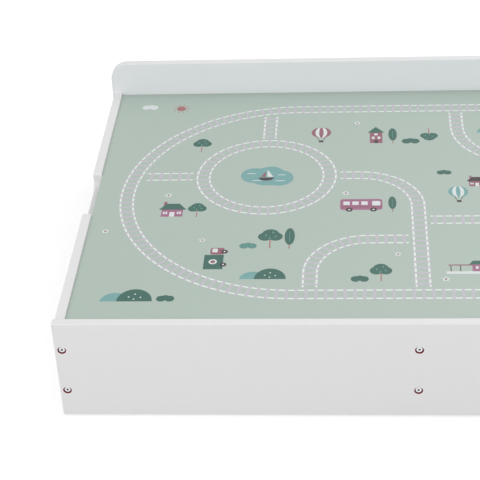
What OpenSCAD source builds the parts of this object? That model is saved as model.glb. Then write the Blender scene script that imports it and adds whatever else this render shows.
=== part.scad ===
// Low play table for children: a white box frame, 1.2 m long, with a lift-off
// play board over two storage bays.
// The origin is the centre of the footprint, on the floor.
// +X runs along the table to the right, +Y from front to rear, +Z up. Millimetres.

/* [Frame] */
// Length of the front and rear panels
frame_length = 1200; // [900:10:1500]
// Depth over the front and rear panels
frame_depth = 800; // [600:10:1000]
// Height of the front and side panels
panel_height = 192; // [180:1:260]
// Thickness of the front, rear, side and divider panels
panel_t = 16; // [15:0.5:20]
// How far each side panel sits in from the panel ends
side_inset = 4; // [1:0.5:10]
// Bevel eased onto the edges that hands touch
edge_bevel = 1; // [0.5:0.25:2]

/* [Rear panel] */
// Height of the rear panel above the side panels
rear_rise = 65; // [45:1:120]
// Radius of its two upper corners
rear_corner_r = 35; // [15:1:45]

/* [Finger notches] */
// Length of the notch between its walls
notch_length = 134; // [100:1:200]
// Depth of the notch below the side panel's top edge
notch_depth = 31; // [28:1:40]
// Radius at the foot of each wall
notch_foot_r = 20; // [8:1:24]
// Radius at the lip of each wall
notch_lip_r = 5; // [2:0.5:6]

/* [Play board] */
// Thickness of the lift-off board
board_t = 12; // [9:0.5:15]
// How far the printed face lies below the side panels' top edge
board_recess = 5; // [2:0.5:8]
// Gap between the board and the panels all round
board_gap = 0.5; // [0.5:0.25:4]
// Radius of the board's corners
board_corner_r = 4; // [2:0.5:10]

/* [Ledges] */
// Width of the strips that carry the board
ledge_w = 18; // [14:1:24]
// Height of the strips
ledge_h = 18; // [14:1:22]
// Gap at each end of a strip
ledge_gap = 1; // [0.5:0.25:3]
// Clear run that a side strip leaves beside the finger notch
ledge_notch_clear = 20; // [10:1:40]

/* [Base] */
// Thickness of the base sheets of the two bays
base_t = 5; // [3:0.5:8]
// Height of the groove above the panels' lower edge
base_height = 12; // [8:1:20]
// Depth of the groove that holds a base sheet
groove_depth = 5; // [3:0.5:6]
// Extra height of the groove over the sheet
groove_play = 0.4; // [0.2:0.1:1]
// Gap between a sheet's edge and the bottom of its groove
base_gap = 1; // [0.5:0.25:2]

/* [Connector bolts] */
// Diameter of the shank
bolt_d = 6; // [5:0.5:7]
// Length under the head
bolt_length = 45; // [40:1:65]
// Diameter of the head
bolt_head_d = 11; // [9.5:0.5:12]
// Height of the head
bolt_head_h = 3.5; // [3:0.25:5]
// How far the head lies below the panel's face
bolt_sink = 1.5; // [1:0.25:3]
// Extra diameter of the recess round the head
bolt_recess_play = 3; // [1:0.25:4]
// Height between the two bolts of a joint
bolt_pitch = 85; // [70:1:100]
// Extra diameter of the hole round the shank
bolt_hole_play = 1; // [0.4:0.1:1.6]
// Width across the flats of the key socket
socket_af = 4; // [3:0.5:5]
// Depth of the key socket
socket_depth = 2.4; // [1.5:0.1:2.8]

/* [Barrel nuts] */
// Diameter of the cross dowel nut
nut_d = 10; // [9:0.5:12]
// Wood left behind the nut's blind hole
nut_skin = 3; // [2:0.5:5]
// How far the bolt's tip runs past the nut
bolt_overrun = 1.5; // [0.5:0.5:4]
// Width and depth of the screwdriver slot
nut_slot = 1.5; // [1:0.25:2]

/* [Dowels] */
// Diameter of the wooden dowels
dowel_d = 8; // [6:0.5:10]
// Length of the wooden dowels
dowel_length = 30; // [26:1:40]
// Wood left behind a dowel hole in the front and rear panels
dowel_skin = 6; // [4:0.5:8]

/* [Ledge screws] */
// Diameter of the countersunk screws
screw_d = 4; // [3:0.5:4.5]
// Length of the countersunk screws
screw_length = 30; // [26:1:32]
// Diameter of the screw head
screw_head_d = 8; // [7:0.5:9]
// Distance of the end screws from a strip's ends
screw_end = 40; // [30:1:60]

/* [Floor glides] */
// Diameter of the plastic glides
glide_d = 14; // [10:0.5:15]
// Thickness of the glides, which lift the panels off the floor
glide_h = 3; // [2:0.25:5]
// Distance of a glide from the end of its panel
glide_end = 45; // [20:1:80]
// Length of the nail that holds a glide
glide_nail_length = 14; // [10:1:18]

/* [Hidden] */
$fn = 48;
// Slack that lets a round piece slide into its hole, on the diameter
slip_fit = 0.1;
// Extra depth of a blind hole past the piece in it
hole_relief = 2;
// How far a cutter runs past the face that it cuts
cut = 1;
nail_d = 1.8;
nail_head_d = 4.6;
nail_head_h = 1;
dowel_chamfer = 1;
screw_head_h = 2.8;
screw_tip = 6;

// Levels above the floor
panel_z = glide_h;
panel_top = panel_z + panel_height;
rear_top = panel_top + rear_rise;
board_top = panel_top - board_recess;
board_z = board_top - board_t;
ledge_z = board_z - ledge_h;
base_z = panel_z + base_height;
joint_z = panel_z + panel_height / 2;
bolt_levels = [joint_z - bolt_pitch / 2, joint_z + bolt_pitch / 2];
screw_z = ledge_z + ledge_h / 2;

// Places along X and Y
half_length = frame_length / 2;
half_depth = frame_depth / 2;
inner_y = half_depth - panel_t;
side_outer_x = half_length - side_inset;
side_inner_x = side_outer_x - panel_t;
side_mid_x = side_outer_x - panel_t / 2;
joint_columns = [-side_mid_x, 0, side_mid_x];
divider_x = panel_t / 2;
side_span = 2 * inner_y;

// Lengths of the joint pieces inside the wood
bolt_seat = bolt_sink + bolt_head_h;
bolt_reach = bolt_length - (panel_t - bolt_seat);
nut_setback = bolt_reach - bolt_overrun - nut_d / 2;
nut_length = panel_t - nut_skin;
nut_hole_d = nut_d + 2 * slip_fit;
dowel_in_face = panel_t - dowel_skin;
dowel_in_end = dowel_length - dowel_in_face;
groove_h = base_t + groove_play;

// Runs of the ledges
long_ledge_length = side_inner_x - divider_x - 2 * ledge_gap;
long_ledge_x = divider_x + ledge_gap;
side_ledge_start = notch_length / 2 + notch_lip_r + ledge_notch_clear;
side_ledge_end = inner_y - ledge_w - ledge_gap;
side_ledge_length = side_ledge_end - side_ledge_start;

white = [0.93, 0.93, 0.93];
sage = [0.70, 0.77, 0.72];
pine = [0.85, 0.72, 0.52];
steel = [0.70, 0.71, 0.73];
brass = [0.76, 0.68, 0.42];
plastic = [0.88, 0.88, 0.86];

// ---------------------------------------------------------------- helpers

// Both halves of the table: the children as drawn at +X, and mirrored to -X
module both_sides() {
  children();
  mirror([1, 0, 0]) children();
}

// Both the front and the rear: the children as drawn at -Y, and mirrored to +Y
module front_and_rear() {
  children();
  mirror([0, 1, 0]) children();
}

// A rectangle with its four corners cut off at 45 degrees
module bevelled_rect(w, h, b) {
  polygon([[b, 0], [w - b, 0], [w, b], [w, h - b], [w - b, h], [b, h], [0, h - b], [0, b]]);
}

// A board that runs along X, with its long edges eased
module board_along_x(length, t, h) {
  translate([-length / 2, 0, 0]) rotate([90, 0, 90]) linear_extrude(length) bevelled_rect(t, h, edge_bevel);
}

// A board that runs along Y, with its long edges eased
module board_along_y(length, t, h) {
  translate([0, length / 2, 0]) rotate([90, 0, 0]) linear_extrude(length) bevelled_rect(t, h, edge_bevel);
}

// A hole or a pin along +Y from the origin
module rod_y(d, length) {
  rotate([-90, 0, 0]) cylinder(d = d, h = length);
}

// A hole or a pin along +X from the origin
module rod_x(d, length) {
  rotate([0, 90, 0]) cylinder(d = d, h = length);
}

// ------------------------------------------------- holes, cut into the panels

// Stepped clearance holes for the bolts through the front panel, wide enough at the face to sink
// their heads, and the dowel holes in its inner face
module front_joint_holes() {
  for (x = joint_columns) {
    for (z = bolt_levels) translate([x, -half_depth - cut, z]) {
      rod_y(bolt_d + bolt_hole_play, panel_t + 2 * cut);
      rod_y(bolt_head_d + bolt_recess_play, bolt_seat + cut);
    }
    translate([x, -inner_y - dowel_in_face, joint_z]) rod_y(dowel_d + slip_fit, dowel_in_face + cut);
  }
}

// Pilot holes for the ledge screws in the front panel's inner face
module front_screw_holes() {
  both_sides() for (x = long_screw_places())
    translate([x, -inner_y - screw_in_panel(), screw_z]) rod_y(screw_d + slip_fit, screw_in_panel() + cut);
}

// The bolt, dowel and nut holes in a panel that runs from front to rear, with its middle at x = 0
// and its nuts let in from the side of +X or -X that nut_side says
module cross_panel_holes(nut_side) {
  front_and_rear() {
    for (z = bolt_levels) {
      translate([0, -inner_y - cut, z]) rod_y(bolt_d + bolt_hole_play, bolt_reach + hole_relief + cut);
      translate([0, -inner_y + nut_setback, z]) barrel_hole(nut_side);
    }
    translate([0, -inner_y - cut, joint_z]) rod_y(dowel_d + slip_fit, dowel_in_end + hole_relief + cut);
  }
}

// The blind hole of one barrel nut, open at the face on nut_side
module barrel_hole(nut_side) {
  rotate([0, 0, nut_side > 0 ? 180 : 0])
    translate([-panel_t / 2 - cut, 0, 0]) rod_x(nut_hole_d, nut_length + cut);
}

// The nail hole of each glide under a panel that runs from front to rear
module nail_holes() {
  front_and_rear() translate([0, -inner_y + glide_end, panel_z - cut])
    cylinder(d = nail_d + slip_fit, h = nail_in_panel() + hole_relief + cut);
}

function nail_in_panel() = glide_nail_length - (glide_h - nail_head_h - nail_head_lift());
function nail_head_lift() = 0.8;
function screw_in_panel() = screw_length - ledge_w;
function long_screw_places() = [
  long_ledge_x + screw_end,
  long_ledge_x + long_ledge_length / 2,
  long_ledge_x + long_ledge_length - screw_end
];
function side_screw_places() = [side_ledge_start + screw_end, side_ledge_end - screw_end];

// ------------------------------------------------------------------ panels

// The groove for the base sheets, in the inner face of the front panel
module front_groove() {
  run = 2 * (side_inner_x + groove_depth);
  translate([-run / 2, -inner_y - groove_depth, base_z]) cube([run, groove_depth + cut, groove_h]);
}

module front_panel() {
  color(white) difference() {
    translate([0, -half_depth, panel_z]) board_along_x(frame_length, panel_t, panel_height);
    front_joint_holes();
    front_screw_holes();
    front_groove();
  }
}

// A strip as thick as a panel along X, with the two corners at its far end cut off at 45 degrees
module eased_strip(length) {
  b = edge_bevel;
  polygon([[0, 0], [panel_t, 0], [panel_t, length - b], [panel_t - b, length], [b, length], [0, length - b]]);
}

// The same strip laid along X, as thick as a panel along Y
module eased_strip_along_x(length) {
  translate([0, panel_t]) rotate(-90) eased_strip(length);
}

// The rear panel before it is drilled, in front of y = 0: a straight middle with an eased top edge,
// two straight ends with eased edges, and the two rounded corners between them
module rear_blank() {
  straight = half_length - rear_corner_r;
  corner_z = panel_height + rear_rise - rear_corner_r;
  translate([0, -panel_t, 0]) {
    translate([-straight, 0, 0]) rotate([90, 0, 90]) linear_extrude(2 * straight)
      eased_strip(panel_height + rear_rise);
    both_sides() translate([straight, 0, 0]) {
      linear_extrude(corner_z) eased_strip_along_x(rear_corner_r);
      translate([0, panel_t, corner_z]) rotate([90, 0, 0]) rotate_extrude(angle = 90, $fn = 96)
        eased_strip_along_x(rear_corner_r);
    }
  }
}

module rear_panel() {
  color(white) difference() {
    translate([0, half_depth, panel_z]) rear_blank();
    mirror([0, 1, 0]) {
      front_joint_holes();
      front_screw_holes();
      front_groove();
    }
  }
}

// The finger notch, drawn in YZ with y = 0 at its middle and z = 0 at the panel's top edge
module notch_outline() {
  half = notch_length / 2;
  difference() {
    union() {
      translate([-half, notch_foot_r - notch_depth]) square([notch_length, notch_depth - notch_foot_r + cut]);
      translate([notch_foot_r - half, -notch_depth]) square([notch_length - 2 * notch_foot_r, notch_depth]);
      for (side = [-1, 1]) translate([side * (half - notch_foot_r), notch_foot_r - notch_depth]) circle(r = notch_foot_r);
      translate([-half - notch_lip_r, -notch_lip_r]) square([notch_length + 2 * notch_lip_r, notch_lip_r + cut]);
    }
    for (side = [-1, 1]) translate([side * (half + notch_lip_r), -notch_lip_r]) circle(r = notch_lip_r);
  }
}

// The side panel on the right, with its nuts let in from inside the bay
module side_panel() {
  color(white) difference() {
    translate([side_inner_x, 0, panel_z]) board_along_y(side_span, panel_t, panel_height);
    translate([side_inner_x - cut, 0, panel_top]) rotate([90, 0, 90]) linear_extrude(panel_t + 2 * cut) notch_outline();
    translate([side_mid_x, 0, 0]) {
      cross_panel_holes(-1);
      nail_holes();
    }
    translate([side_inner_x - cut, -inner_y - cut, base_z]) cube([groove_depth + cut, side_span + 2 * cut, groove_h]);
    front_and_rear() for (y = side_screw_places())
      translate([side_inner_x - cut, -y, screw_z]) rod_x(screw_d + slip_fit, screw_in_panel() + cut);
  }
}

// The divider between the two bays, whose top edge carries the middle of the board
module centre_divider() {
  color(white) difference() {
    translate([-divider_x, 0, panel_z]) board_along_y(side_span, panel_t, board_z - panel_z);
    cross_panel_holes(-1);
    nail_holes();
    both_sides() translate([divider_x - groove_depth, -inner_y - cut, base_z])
      cube([groove_depth + cut, side_span + 2 * cut, groove_h]);
  }
}

// The base sheet of the right bay, held in the grooves of the four panels round it
module base_sheet() {
  x0 = divider_x - groove_depth + base_gap;
  x1 = side_inner_x + groove_depth - base_gap;
  half_y = inner_y + groove_depth - base_gap;
  color(white) translate([x0, -half_y, base_z]) cube([x1 - x0, 2 * half_y, base_t]);
}

// -------------------------------------------------------------- play board

// The lift-off board, with rounded corners
module play_board() {
  half_x = side_inner_x - board_gap;
  half_y = inner_y - board_gap;
  r = board_corner_r;
  color(sage) translate([0, 0, board_z]) linear_extrude(board_t) {
    translate([-half_x + r, -half_y]) square([2 * (half_x - r), 2 * half_y]);
    translate([-half_x, -half_y + r]) square([2 * half_x, 2 * (half_y - r)]);
    for (sx = [-1, 1], sy = [-1, 1]) translate([sx * (half_x - r), sy * (half_y - r)]) circle(r = r);
  }
}

// ----------------------------------------------------------------- ledges

// A countersunk clearance hole along -Y, with its head at y = 0
module countersunk_hole() {
  rotate([90, 0, 0]) {
    translate([0, 0, -cut]) cylinder(d = screw_head_d + slip_fit, h = cut);
    cylinder(d1 = screw_head_d + slip_fit, d2 = screw_d + slip_fit, h = screw_head_h);
    cylinder(d = screw_d + slip_fit, h = ledge_w + cut);
  }
}

// The strip on the inside of the front panel, in the right bay
module front_ledge() {
  color(pine) difference() {
    translate([long_ledge_x, -inner_y, ledge_z]) cube([long_ledge_length, ledge_w, ledge_h]);
    for (x = long_screw_places()) translate([x, -inner_y + ledge_w, screw_z]) countersunk_hole();
  }
}

// The strip on the inside of the right side panel, in front of the finger notch
module side_ledge() {
  color(pine) difference() {
    translate([side_inner_x - ledge_w, -side_ledge_end, ledge_z]) cube([ledge_w, side_ledge_length, ledge_h]);
    for (y = side_screw_places())
      translate([side_inner_x - ledge_w, -y, screw_z]) rotate([0, 0, 90]) countersunk_hole();
  }
}

// --------------------------------------------------------------- fasteners

// A connector bolt along +Y, with the underside of its head at y = 0: a low round head
// with an eased rim and a key socket, and a chamfered tip
module connector_bolt() {
  tip = bolt_d / 6;
  rim = bolt_head_h / 7;
  rotate([-90, 0, 0]) difference() {
    union() {
      translate([0, 0, -bolt_head_h]) cylinder(d1 = bolt_head_d - 2 * rim, d2 = bolt_head_d, h = rim);
      translate([0, 0, rim - bolt_head_h]) cylinder(d = bolt_head_d, h = bolt_head_h - rim);
      cylinder(d = bolt_d, h = bolt_length - tip);
      translate([0, 0, bolt_length - tip]) cylinder(d1 = bolt_d, d2 = bolt_d - 2 * tip, h = tip);
    }
    translate([0, 0, -bolt_head_h - cut]) cylinder(d = socket_af / cos(30), h = socket_depth + cut, $fn = 6);
  }
}

module front_bolts() {
  color(steel) for (x = joint_columns, z = bolt_levels)
    translate([x, -half_depth + bolt_seat, z]) connector_bolt();
}

// A barrel nut along X, slotted at its outer end and bored across for the bolt
module barrel_nut() {
  difference() {
    translate([-panel_t / 2, 0, 0]) rod_x(nut_d, nut_length);
    translate([0, -nut_d / 2 - cut, 0]) rod_y(bolt_d + slip_fit, nut_d + 2 * cut);
    translate([-panel_t / 2 - cut, -nut_d / 2 - cut, -nut_slot / 2]) cube([nut_slot + cut, nut_d + 2 * cut, nut_slot]);
  }
}

module barrel_nuts() {
  color(brass) front_and_rear() for (z = bolt_levels) translate([0, -inner_y + nut_setback, z]) {
    both_sides() translate([side_mid_x, 0, 0]) barrel_nut();
    barrel_nut();
  }
}

// A wooden dowel along +Y, with both ends chamfered
module wooden_dowel() {
  c = dowel_chamfer;
  rotate([-90, 0, 0]) {
    cylinder(d1 = dowel_d - 2 * c, d2 = dowel_d, h = c);
    translate([0, 0, c]) cylinder(d = dowel_d, h = dowel_length - 2 * c);
    translate([0, 0, dowel_length - c]) cylinder(d1 = dowel_d, d2 = dowel_d - 2 * c, h = c);
  }
}

module wooden_dowels() {
  color(pine) front_and_rear() for (x = joint_columns)
    translate([x, -inner_y - dowel_in_face, joint_z]) wooden_dowel();
}

// A countersunk screw along -Y, with its head at y = 0 and a cross recess
module ledge_screw() {
  recess = screw_head_d / 2;
  rotate([90, 0, 0]) difference() {
    union() {
      cylinder(d1 = screw_head_d, d2 = screw_d, h = screw_head_h);
      cylinder(d = screw_d, h = screw_length - screw_tip);
      translate([0, 0, screw_length - screw_tip]) cylinder(d1 = screw_d, d2 = 0, h = screw_tip);
    }
    for (turn = [0, 90]) rotate([0, 0, turn]) translate([-recess / 2, -recess / 8, -cut])
      cube([recess, recess / 4, cut + screw_head_h / 2]);
  }
}

module ledge_screws() {
  color(steel) both_sides() front_and_rear() {
    for (x = long_screw_places()) translate([x, -inner_y + ledge_w, screw_z]) ledge_screw();
    for (y = side_screw_places())
      translate([side_inner_x - ledge_w, -y, screw_z]) rotate([0, 0, 90]) ledge_screw();
  }
}

// ------------------------------------------------------------ floor glides

// Every glide's place, under the side panels and the divider
module at_glides() {
  for (x = joint_columns) front_and_rear() translate([x, -inner_y + glide_end, 0]) children();
}

// A plastic disc, tapered towards the floor, with a sunk hole for its nail
module floor_glide() {
  difference() {
    cylinder(d1 = glide_d - glide_h / 2, d2 = glide_d, h = glide_h);
    translate([0, 0, -cut]) cylinder(d = nail_d + slip_fit, h = glide_h + 2 * cut);
    translate([0, 0, -cut]) cylinder(d = nail_head_d + slip_fit, h = nail_head_lift() + nail_head_h + cut);
  }
}

// The nail of a glide: its head sits up inside the disc, clear of the floor
module glide_nail() {
  translate([0, 0, nail_head_lift()]) {
    cylinder(d = nail_head_d, h = nail_head_h);
    translate([0, 0, nail_head_h]) cylinder(d = nail_d, h = glide_nail_length);
  }
}

module floor_glides() {
  color(plastic) at_glides() floor_glide();
}

module glide_nails() {
  color(steel) at_glides() glide_nail();
}

// ---------------------------------------------------------------- the nodes

front_panel();
rear_panel();
mirror([1, 0, 0]) side_panel();  // left_side_panel
side_panel();  // right_side_panel
centre_divider();
mirror([1, 0, 0]) base_sheet();  // left_base_sheet
base_sheet();  // right_base_sheet
play_board();
mirror([1, 0, 0]) front_ledge();  // front_left_ledge
front_ledge();  // front_right_ledge
mirror([1, 0, 0]) mirror([0, 1, 0]) front_ledge();  // rear_left_ledge
mirror([0, 1, 0]) front_ledge();  // rear_right_ledge
mirror([1, 0, 0]) side_ledge();  // left_front_ledge
mirror([1, 0, 0]) mirror([0, 1, 0]) side_ledge();  // left_rear_ledge
side_ledge();  // right_front_ledge
mirror([0, 1, 0]) side_ledge();  // right_rear_ledge
front_bolts();
mirror([0, 1, 0]) front_bolts();  // rear_bolts
barrel_nuts();
wooden_dowels();
ledge_screws();
floor_glides();
glide_nails();
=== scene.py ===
# %% [markdown]
# # A white play table with a printed board
# The table is a shallow box of white lacquered fibreboard. A loose board, printed in sage green
# with a railway and small pictures, lies in the box on hidden ledges and lifts off over two
# storage bays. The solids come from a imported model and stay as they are. This lesson gives them
# their finishes, prints the board, and sets the light and the camera.

# %% Load the solids
import math
import bmesh
import bpy
from mathutils import Matrix, Vector


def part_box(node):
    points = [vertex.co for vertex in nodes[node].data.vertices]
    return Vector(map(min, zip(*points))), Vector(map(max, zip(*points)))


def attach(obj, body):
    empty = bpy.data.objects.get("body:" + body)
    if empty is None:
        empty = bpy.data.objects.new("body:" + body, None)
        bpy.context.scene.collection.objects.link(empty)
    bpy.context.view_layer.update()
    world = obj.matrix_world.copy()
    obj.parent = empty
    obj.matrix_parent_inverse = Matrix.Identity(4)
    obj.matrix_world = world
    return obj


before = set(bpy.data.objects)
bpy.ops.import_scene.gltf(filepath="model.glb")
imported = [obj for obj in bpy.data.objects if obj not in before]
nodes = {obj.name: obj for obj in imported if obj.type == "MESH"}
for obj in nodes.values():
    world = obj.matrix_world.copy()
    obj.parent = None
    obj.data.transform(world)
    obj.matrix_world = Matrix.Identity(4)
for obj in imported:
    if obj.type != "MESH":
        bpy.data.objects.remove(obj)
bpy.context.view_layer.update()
print("Solids loaded:", len(nodes))

# %% [markdown]
# ## The camera
# The view was worked out from the table's own straight edges, so that the picture's perspective
# fits the real sizes. The camera stands in front, looks down at about 34 degrees, and is turned
# and tilted a little to the left, as a hand-held camera would be. A camera can also be aimed by
# eye, but a place and three named angles can be checked and changed one at a time.

# %% Camera
PICTURE_SIDE = 480
FOCAL_PIXELS = 1512.1
SENSOR_MM = 36.0
NEAREST_VIEW = 0.05
CAMERA_PLACE = Vector((-0.1016, -2.3390, 1.6815))
CAMERA_YAW = math.radians(-5.311)
CAMERA_PITCH = math.radians(34.158)
CAMERA_ROLL = math.radians(3.331)


def camera_axes(yaw, pitch, roll):
    """The camera's right, up and backward directions, from its heading, its dip and its tilt."""
    level = math.cos(pitch)
    forward = Vector((math.sin(yaw) * level, math.cos(yaw) * level, -math.sin(pitch)))
    level_right = Vector((math.cos(yaw), -math.sin(yaw), 0.0))
    level_up = level_right.cross(forward)
    right = math.cos(roll) * level_right - math.sin(roll) * level_up
    up = math.sin(roll) * level_right + math.cos(roll) * level_up
    return right, up, -forward


camera_data = bpy.data.cameras.new("camera")
camera_data.sensor_width = SENSOR_MM
camera_data.lens = FOCAL_PIXELS / PICTURE_SIDE * SENSOR_MM
camera_data.clip_start = NEAREST_VIEW
camera = bpy.data.objects.new("camera", camera_data)
bpy.context.scene.collection.objects.link(camera)
camera_turn = Matrix(camera_axes(CAMERA_YAW, CAMERA_PITCH, CAMERA_ROLL)).transposed()
camera.matrix_world = Matrix.Translation(CAMERA_PLACE) @ camera_turn.to_4x4()
bpy.context.scene.camera = camera
bpy.context.scene.view_settings.view_transform = "Standard"
print("Lens:", round(camera_data.lens, 1), "mm")

# %% [markdown]
# ## Helpers for materials
# A node material is easier to read when each node is one line. `add` makes a node and fills its
# inputs with numbers or with other nodes' outputs, and the short functions after it stand for the
# nodes that come back most often. The same nodes could be set by hand in the shader editor, but
# in code every number stays in sight.

# %% Colours and single nodes
def paint(red, green, blue):
    """A colour picked on the usual 0 to 255 scale, as the linear colour that shaders work with."""
    linear = [((c / 255 + 0.055) / 1.055) ** 2.4 for c in (red, green, blue)]
    return (*linear, 1.0)


def fill(tree, socket, value):
    """Gives a socket a value, or links it to another node's output."""
    if isinstance(value, bpy.types.NodeSocket):
        tree.links.new(value, socket)
    else:
        socket.default_value = value


def add(tree, kind, inputs=None, **settings):
    """A shader node of that kind. Inputs are given by name or number, as a value or a socket."""
    made = tree.nodes.new("ShaderNode" + kind)
    for name, value in settings.items():
        setattr(made, name, value)
    for key, value in (inputs or {}).items():
        fill(tree, made.inputs[key], value)
    return made


def maths(tree, operation, *values, clamp=False):
    """The output of a Math node."""
    inputs = dict(enumerate(values))
    return add(tree, "Math", inputs, operation=operation, use_clamp=clamp).outputs[0]


print("A mid grey of 128 is", round(paint(128, 128, 128)[0], 3), "as light")


# %% Nodes that come back often
def mix_colours(tree, factor, first, second):
    """The output of a Mix node that blends two colours."""
    made = add(tree, "Mix", data_type="RGBA")
    for name, value in (("Factor_Float", factor), ("A_Color", first), ("B_Color", second)):
        fill(tree, next(s for s in made.inputs if s.identifier == name), value)
    return next(s for s in made.outputs if s.identifier == "Result_Color")


def ramp(tree, value, low, high):
    """0 below low, 1 above high, and a smooth rise between them."""
    inputs = {"Value": value, "From Min": low, "From Max": high}
    return add(tree, "MapRange", inputs, interpolation_type="SMOOTHSTEP").outputs["Result"]


def noise(tree, vector, scale, detail, distortion=0.0):
    """The output of a Noise Texture. It swings about 0.5."""
    inputs = {"Vector": vector, "Scale": scale, "Detail": detail, "Distortion": distortion}
    return add(tree, "TexNoise", inputs).outputs["Fac"]


print("Ready to mix colours, to ramp values and to make noise")


# %% Nodes for places and directions
def times(tree, vector, factors):
    """A vector whose parts are multiplied one by one."""
    return add(tree, "VectorMath", {0: vector, 1: factors}, operation="MULTIPLY").outputs[0]


def scaled(tree, colour, amount):
    """A colour made lighter or darker."""
    return add(tree, "VectorMath", {0: colour, "Scale": amount}, operation="SCALE").outputs[0]


def spun(tree, vector, angle):
    """A vector turned about Z."""
    inputs = {"Vector": vector, "Angle": angle}
    return add(tree, "VectorRotate", inputs, rotation_type="Z_AXIS").outputs[0]


def position(tree):
    """The object's own coordinates, in metres."""
    return add(tree, "TexCoord").outputs["Object"]


print("Places are measured in the object's own metres")

# %% [markdown]
# ## Groups and materials
# An effect that many finishes share, such as edge wear, is built once as a node group with named
# sockets, and each material places it with its own values. It could be copied into each material
# too, but then every change would have to be made many times. The shader itself stays in the
# material.


# %% Groups
def group(title, inputs, outputs):
    """A new node group and its sockets. An input with a tuple as its default is a colour."""
    made = bpy.data.node_groups.new(title, "ShaderNodeTree")
    for name, default in inputs.items():
        kind = "NodeSocketColor" if isinstance(default, tuple) else "NodeSocketFloat"
        socket = made.interface.new_socket(name, in_out="INPUT", socket_type=kind)
        socket.default_value = default
    for name in outputs:
        kind = "NodeSocketColor" if name.endswith("Color") else "NodeSocketFloat"
        made.interface.new_socket(name, in_out="OUTPUT", socket_type=kind)
    given = made.nodes.new("NodeGroupInput").outputs
    put = made.nodes.new("NodeGroupOutput").inputs
    return made, given, put


def use(tree, shared, **inputs):
    """A group placed with its own values. An underscore in a name stands for a space."""
    made = tree.nodes.new("ShaderNodeGroup")
    made.node_tree = shared
    for name, value in inputs.items():
        fill(tree, made.inputs[name.replace("_", " ")], value)
    return made.outputs


print("Groups so far:", len(bpy.data.node_groups))


# %% Materials
def material(title, metallic=0.0, specular=0.5):
    """A new material. Returns it with its node tree and its Principled shader."""
    made = bpy.data.materials.new(title)
    made.use_nodes = True
    shader = made.node_tree.nodes["Principled BSDF"]
    shader.inputs["Metallic"].default_value = metallic
    shader.inputs["Specular IOR Level"].default_value = specular
    return made, made.node_tree, shader


def finish_surface(tree, shader, colour, roughness, height=None, relief=0.0001):
    """Wires colour and roughness to the shader, and a height as a bump of that depth in metres."""
    fill(tree, shader.inputs["Base Color"], colour)
    fill(tree, shader.inputs["Roughness"], roughness)
    if height is not None:
        bump = add(tree, "Bump", {"Height": height, "Distance": relief, "Strength": 1.0})
        tree.links.new(bump.outputs["Normal"], shader.inputs["Normal"])


print("Materials so far:", len(bpy.data.materials))

# %% [markdown]
# ## Effects that several finishes share
# Nothing on real furniture is one even colour. A few small effects carry most of that: a slow
# drift of tone over a panel, the fine pebbled skin that a roller leaves in lacquer, the rub that
# hands leave along edges, and gloss that differs where a surface is touched and wiped. The rub is
# found by comparing the surface's normal with a rounded one: they differ only near an edge. A
# last mask tells the faces that look up from all others.

# %% Tone drift
WHITE = (1.0, 1.0, 1.0, 1.0)


def make_tone_drift():
    """Light and dark patches a hand wide, and a finer cloud over them."""
    shared, given, put = group("Tone Drift", {"Color": WHITE, "Amount": 0.02, "Patch Size": 0.25},
                               ["Toned Color"])
    tree = shared
    scale = maths(tree, "DIVIDE", 1.0, given["Patch Size"])
    wide = noise(tree, position(tree), scale, detail=2.0)
    fine = noise(tree, position(tree), maths(tree, "MULTIPLY", scale, 9.0), detail=3.0)
    both = maths(tree, "MULTIPLY_ADD", fine, 0.4, maths(tree, "MULTIPLY", wide, 0.6))
    centred = maths(tree, "SUBTRACT", both, 0.5)
    tone = maths(tree, "MULTIPLY_ADD", centred, given["Amount"], 1.0)
    tree.links.new(scaled(tree, given["Color"], tone), put["Toned Color"])
    return shared


tone_drift = make_tone_drift()
print("Made the group", tone_drift.name)


# %% Roller skin and edge rub
def make_roller_skin():
    """The pebbled skin of rolled lacquer, as a height from 0 to 1."""
    shared, given, put = group("Roller Skin", {"Pebble Size": 0.0012}, ["Height"])
    tree = shared
    scale = maths(tree, "DIVIDE", 1.0, given["Pebble Size"])
    pebbles = noise(tree, position(tree), scale, detail=1.5)
    tree.links.new(ramp(tree, pebbles, low=0.3, high=0.7), put["Height"])
    return shared


def make_edge_rub():
    """1 where hands have rubbed an edge, 0 on the flats, broken up by a noise."""
    shared, given, put = group("Edge Rub", {"Width": 0.002, "Amount": 0.5}, ["Rub"])
    tree = shared
    rounded_off = add(tree, "Bevel", {"Radius": given["Width"]}, samples=6).outputs["Normal"]
    flat = add(tree, "NewGeometry").outputs["Normal"]
    compared = add(tree, "VectorMath", {0: rounded_off, 1: flat}, operation="DOT_PRODUCT")
    same = compared.outputs["Value"]
    near_edge = ramp(tree, maths(tree, "SUBTRACT", 1.0, same), low=0.01, high=0.2)
    patchy = ramp(tree, noise(tree, position(tree), scale=60.0, detail=4.0), low=0.4, high=0.65)
    broken = maths(tree, "MULTIPLY", near_edge, patchy)
    tree.links.new(maths(tree, "MULTIPLY", broken, given["Amount"], clamp=True), put["Rub"])
    return shared


roller_skin = make_roller_skin()
edge_rub = make_edge_rub()
print("Made the groups", roller_skin.name, "and", edge_rub.name)

# %% Smudges and upward faces
WIPE_STRETCH = (90.0, 9.0, 30.0)


def make_smudges():
    """Roughness that varies as it does on a surface that is handled and wiped."""
    shared, given, put = group("Smudges", {"Base": 0.4, "Spread": 0.1}, ["Roughness"])
    tree = shared
    blots = noise(tree, position(tree), scale=14.0, detail=5.0)
    wiped = noise(tree, times(tree, position(tree), WIPE_STRETCH), scale=1.0, detail=3.0)
    both = maths(tree, "MULTIPLY_ADD", wiped, 0.35, maths(tree, "MULTIPLY", blots, 0.65))
    swing = maths(tree, "MULTIPLY", maths(tree, "SUBTRACT", both, 0.5), given["Spread"])
    tree.links.new(maths(tree, "ADD", given["Base"], swing, clamp=True), put["Roughness"])
    return shared


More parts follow.
